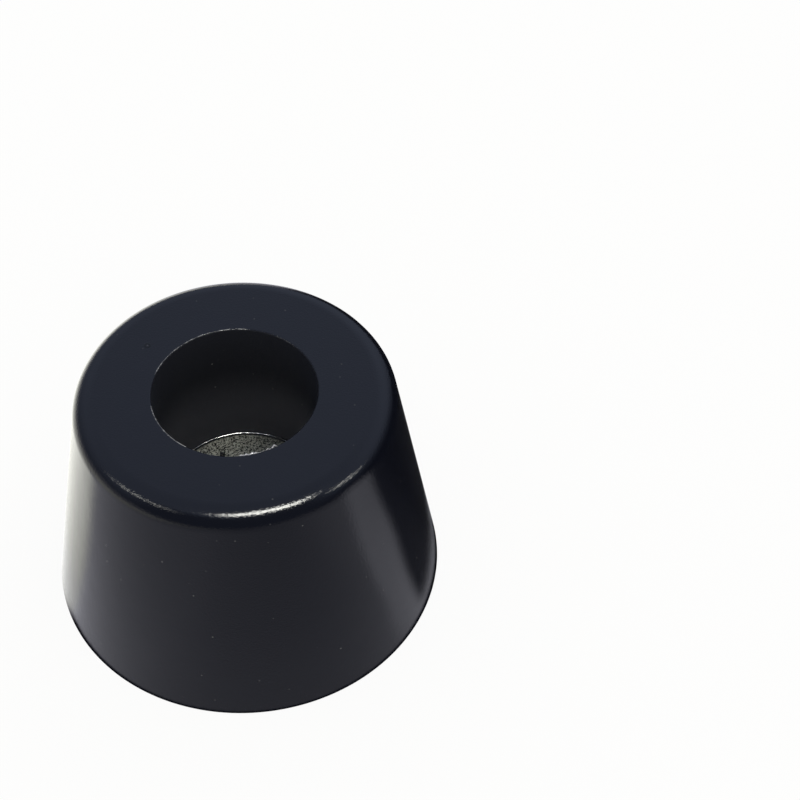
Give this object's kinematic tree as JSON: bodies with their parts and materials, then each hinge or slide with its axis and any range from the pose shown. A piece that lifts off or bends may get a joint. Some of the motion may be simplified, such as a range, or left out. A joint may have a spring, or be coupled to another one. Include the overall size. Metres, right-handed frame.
{
  "type": "rubber foot",
  "caption": "Tapered round rubber foot with a deep mouth for a screw head and a steel washer moulded in at its floor.",
  "frame": {"origin": "centre of the wide mounting face, on the axis of the screw hole", "axes": "+Z along the axis, from the wide mounting face to the narrow end; the part is round, so +X and +Y are free"},
  "size_m": [0.038, 0.038, 0.025],
  "materials": {
    "black_rubber": "satin moulded rubber",
    "washer_steel": "dull, grainy zinc-plated steel"
  },
  "bodies": {
    "root": {"rubber_body": "black_rubber", "steel_washer": "washer_steel"}
  },
  "joints": []
}
